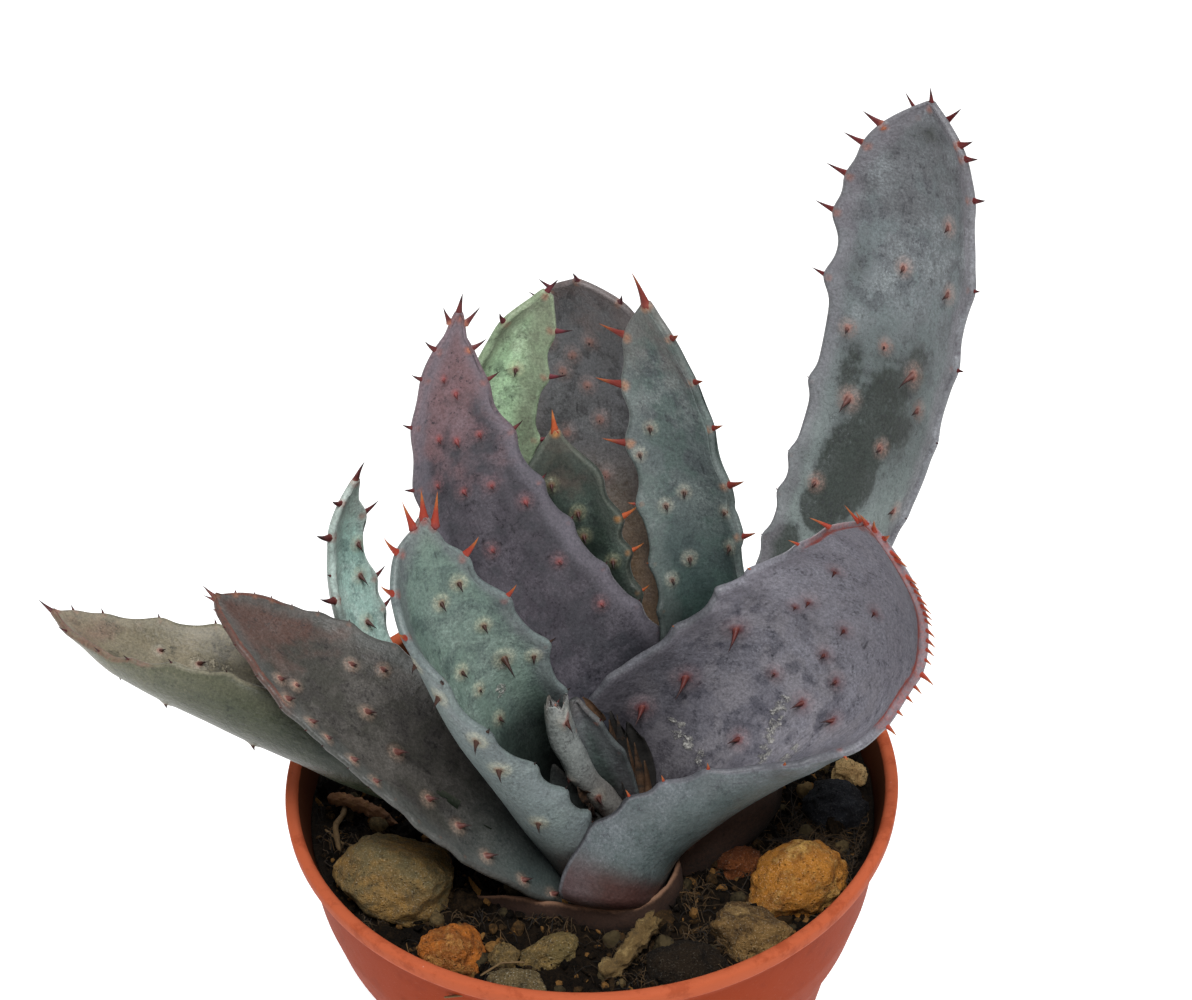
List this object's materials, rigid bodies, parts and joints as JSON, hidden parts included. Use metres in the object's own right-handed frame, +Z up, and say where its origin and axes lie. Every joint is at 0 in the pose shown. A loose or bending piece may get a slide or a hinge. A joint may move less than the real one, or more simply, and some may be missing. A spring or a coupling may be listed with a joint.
{
  "type": "potted aloe",
  "caption": "Small rosette aloe with long upright fleshy leaves, toothed margins and prickly faces, standing in peat soil with stones in a round plastic nursery pot",
  "frame": {"origin": "centre of the pot's flat underside", "axes": "+Z is up along the pot's axis, -Y is towards the viewer of the front, where the front and spoon leaves stand, and +X is to the viewer's right, where the tall leaf leans"},
  "size_m": [0.1026, 0.07, 0.1333],
  "materials": {
    "pot": "satin terracotta-coloured plastic",
    "soil": "damp crumbly peat",
    "stem": "dry brown stem",
    "leaf_stub": "pale grey leaf skin",
    "leaf_heart": "waxy leaf skin",
    "leaf_inner": "waxy leaf skin",
    "leaf_front": "leaf skin with pale bloom",
    "leaf_broad": "leaf skin with pale bloom",
    "leaf_green": "waxy leaf skin",
    "leaf_right": "leaf skin with pale bloom",
    "leaf_narrow": "leaf skin with pale bloom",
    "leaf_spoon": "leaf skin with pale bloom",
    "leaf_back": "dull leaf skin",
    "leaf_low": "dull leaf skin",
    "leaf_left": "dull leaf skin",
    "leaf_tall": "leaf skin with pale bloom",
    "stone_olive": "rough",
    "stone_orange": "rough",
    "stone_moss": "rough",
    "stone_pea": "rough",
    "stone_speckled": "rough, speckled",
    "stone_ochre": "rough",
    "stone_brown": "rough",
    "stone_slate": "dull",
    "stone_rust": "rough",
    "stone_cream": "smooth",
    "clod": "lump of peat",
    "twig": "bare bark",
    "moss_stem": "dry, mossy"
  },
  "bodies": {
    "root": {"pot": "pot", "soil": "soil", "stem": "stem", "leaf_stub": "leaf_stub", "leaf_heart": "leaf_heart", "leaf_inner": "leaf_inner", "leaf_front": "leaf_front", "leaf_broad": "leaf_broad", "leaf_green": "leaf_green", "leaf_right": "leaf_right", "leaf_narrow": "leaf_narrow", "leaf_spoon": "leaf_spoon", "leaf_back": "leaf_back", "leaf_low": "leaf_low", "leaf_left": "leaf_left", "leaf_tall": "leaf_tall", "stone_olive": "stone_olive", "stone_orange": "stone_orange", "stone_moss": "stone_moss", "stone_pea": "stone_pea", "stone_speckled": "stone_speckled", "stone_ochre": "stone_ochre", "stone_brown": "stone_brown", "stone_slate": "stone_slate", "stone_rust": "stone_rust", "stone_cream": "stone_cream", "clod": "clod", "twig": "twig", "moss_stem": "moss_stem"}
  },
  "joints": []
}
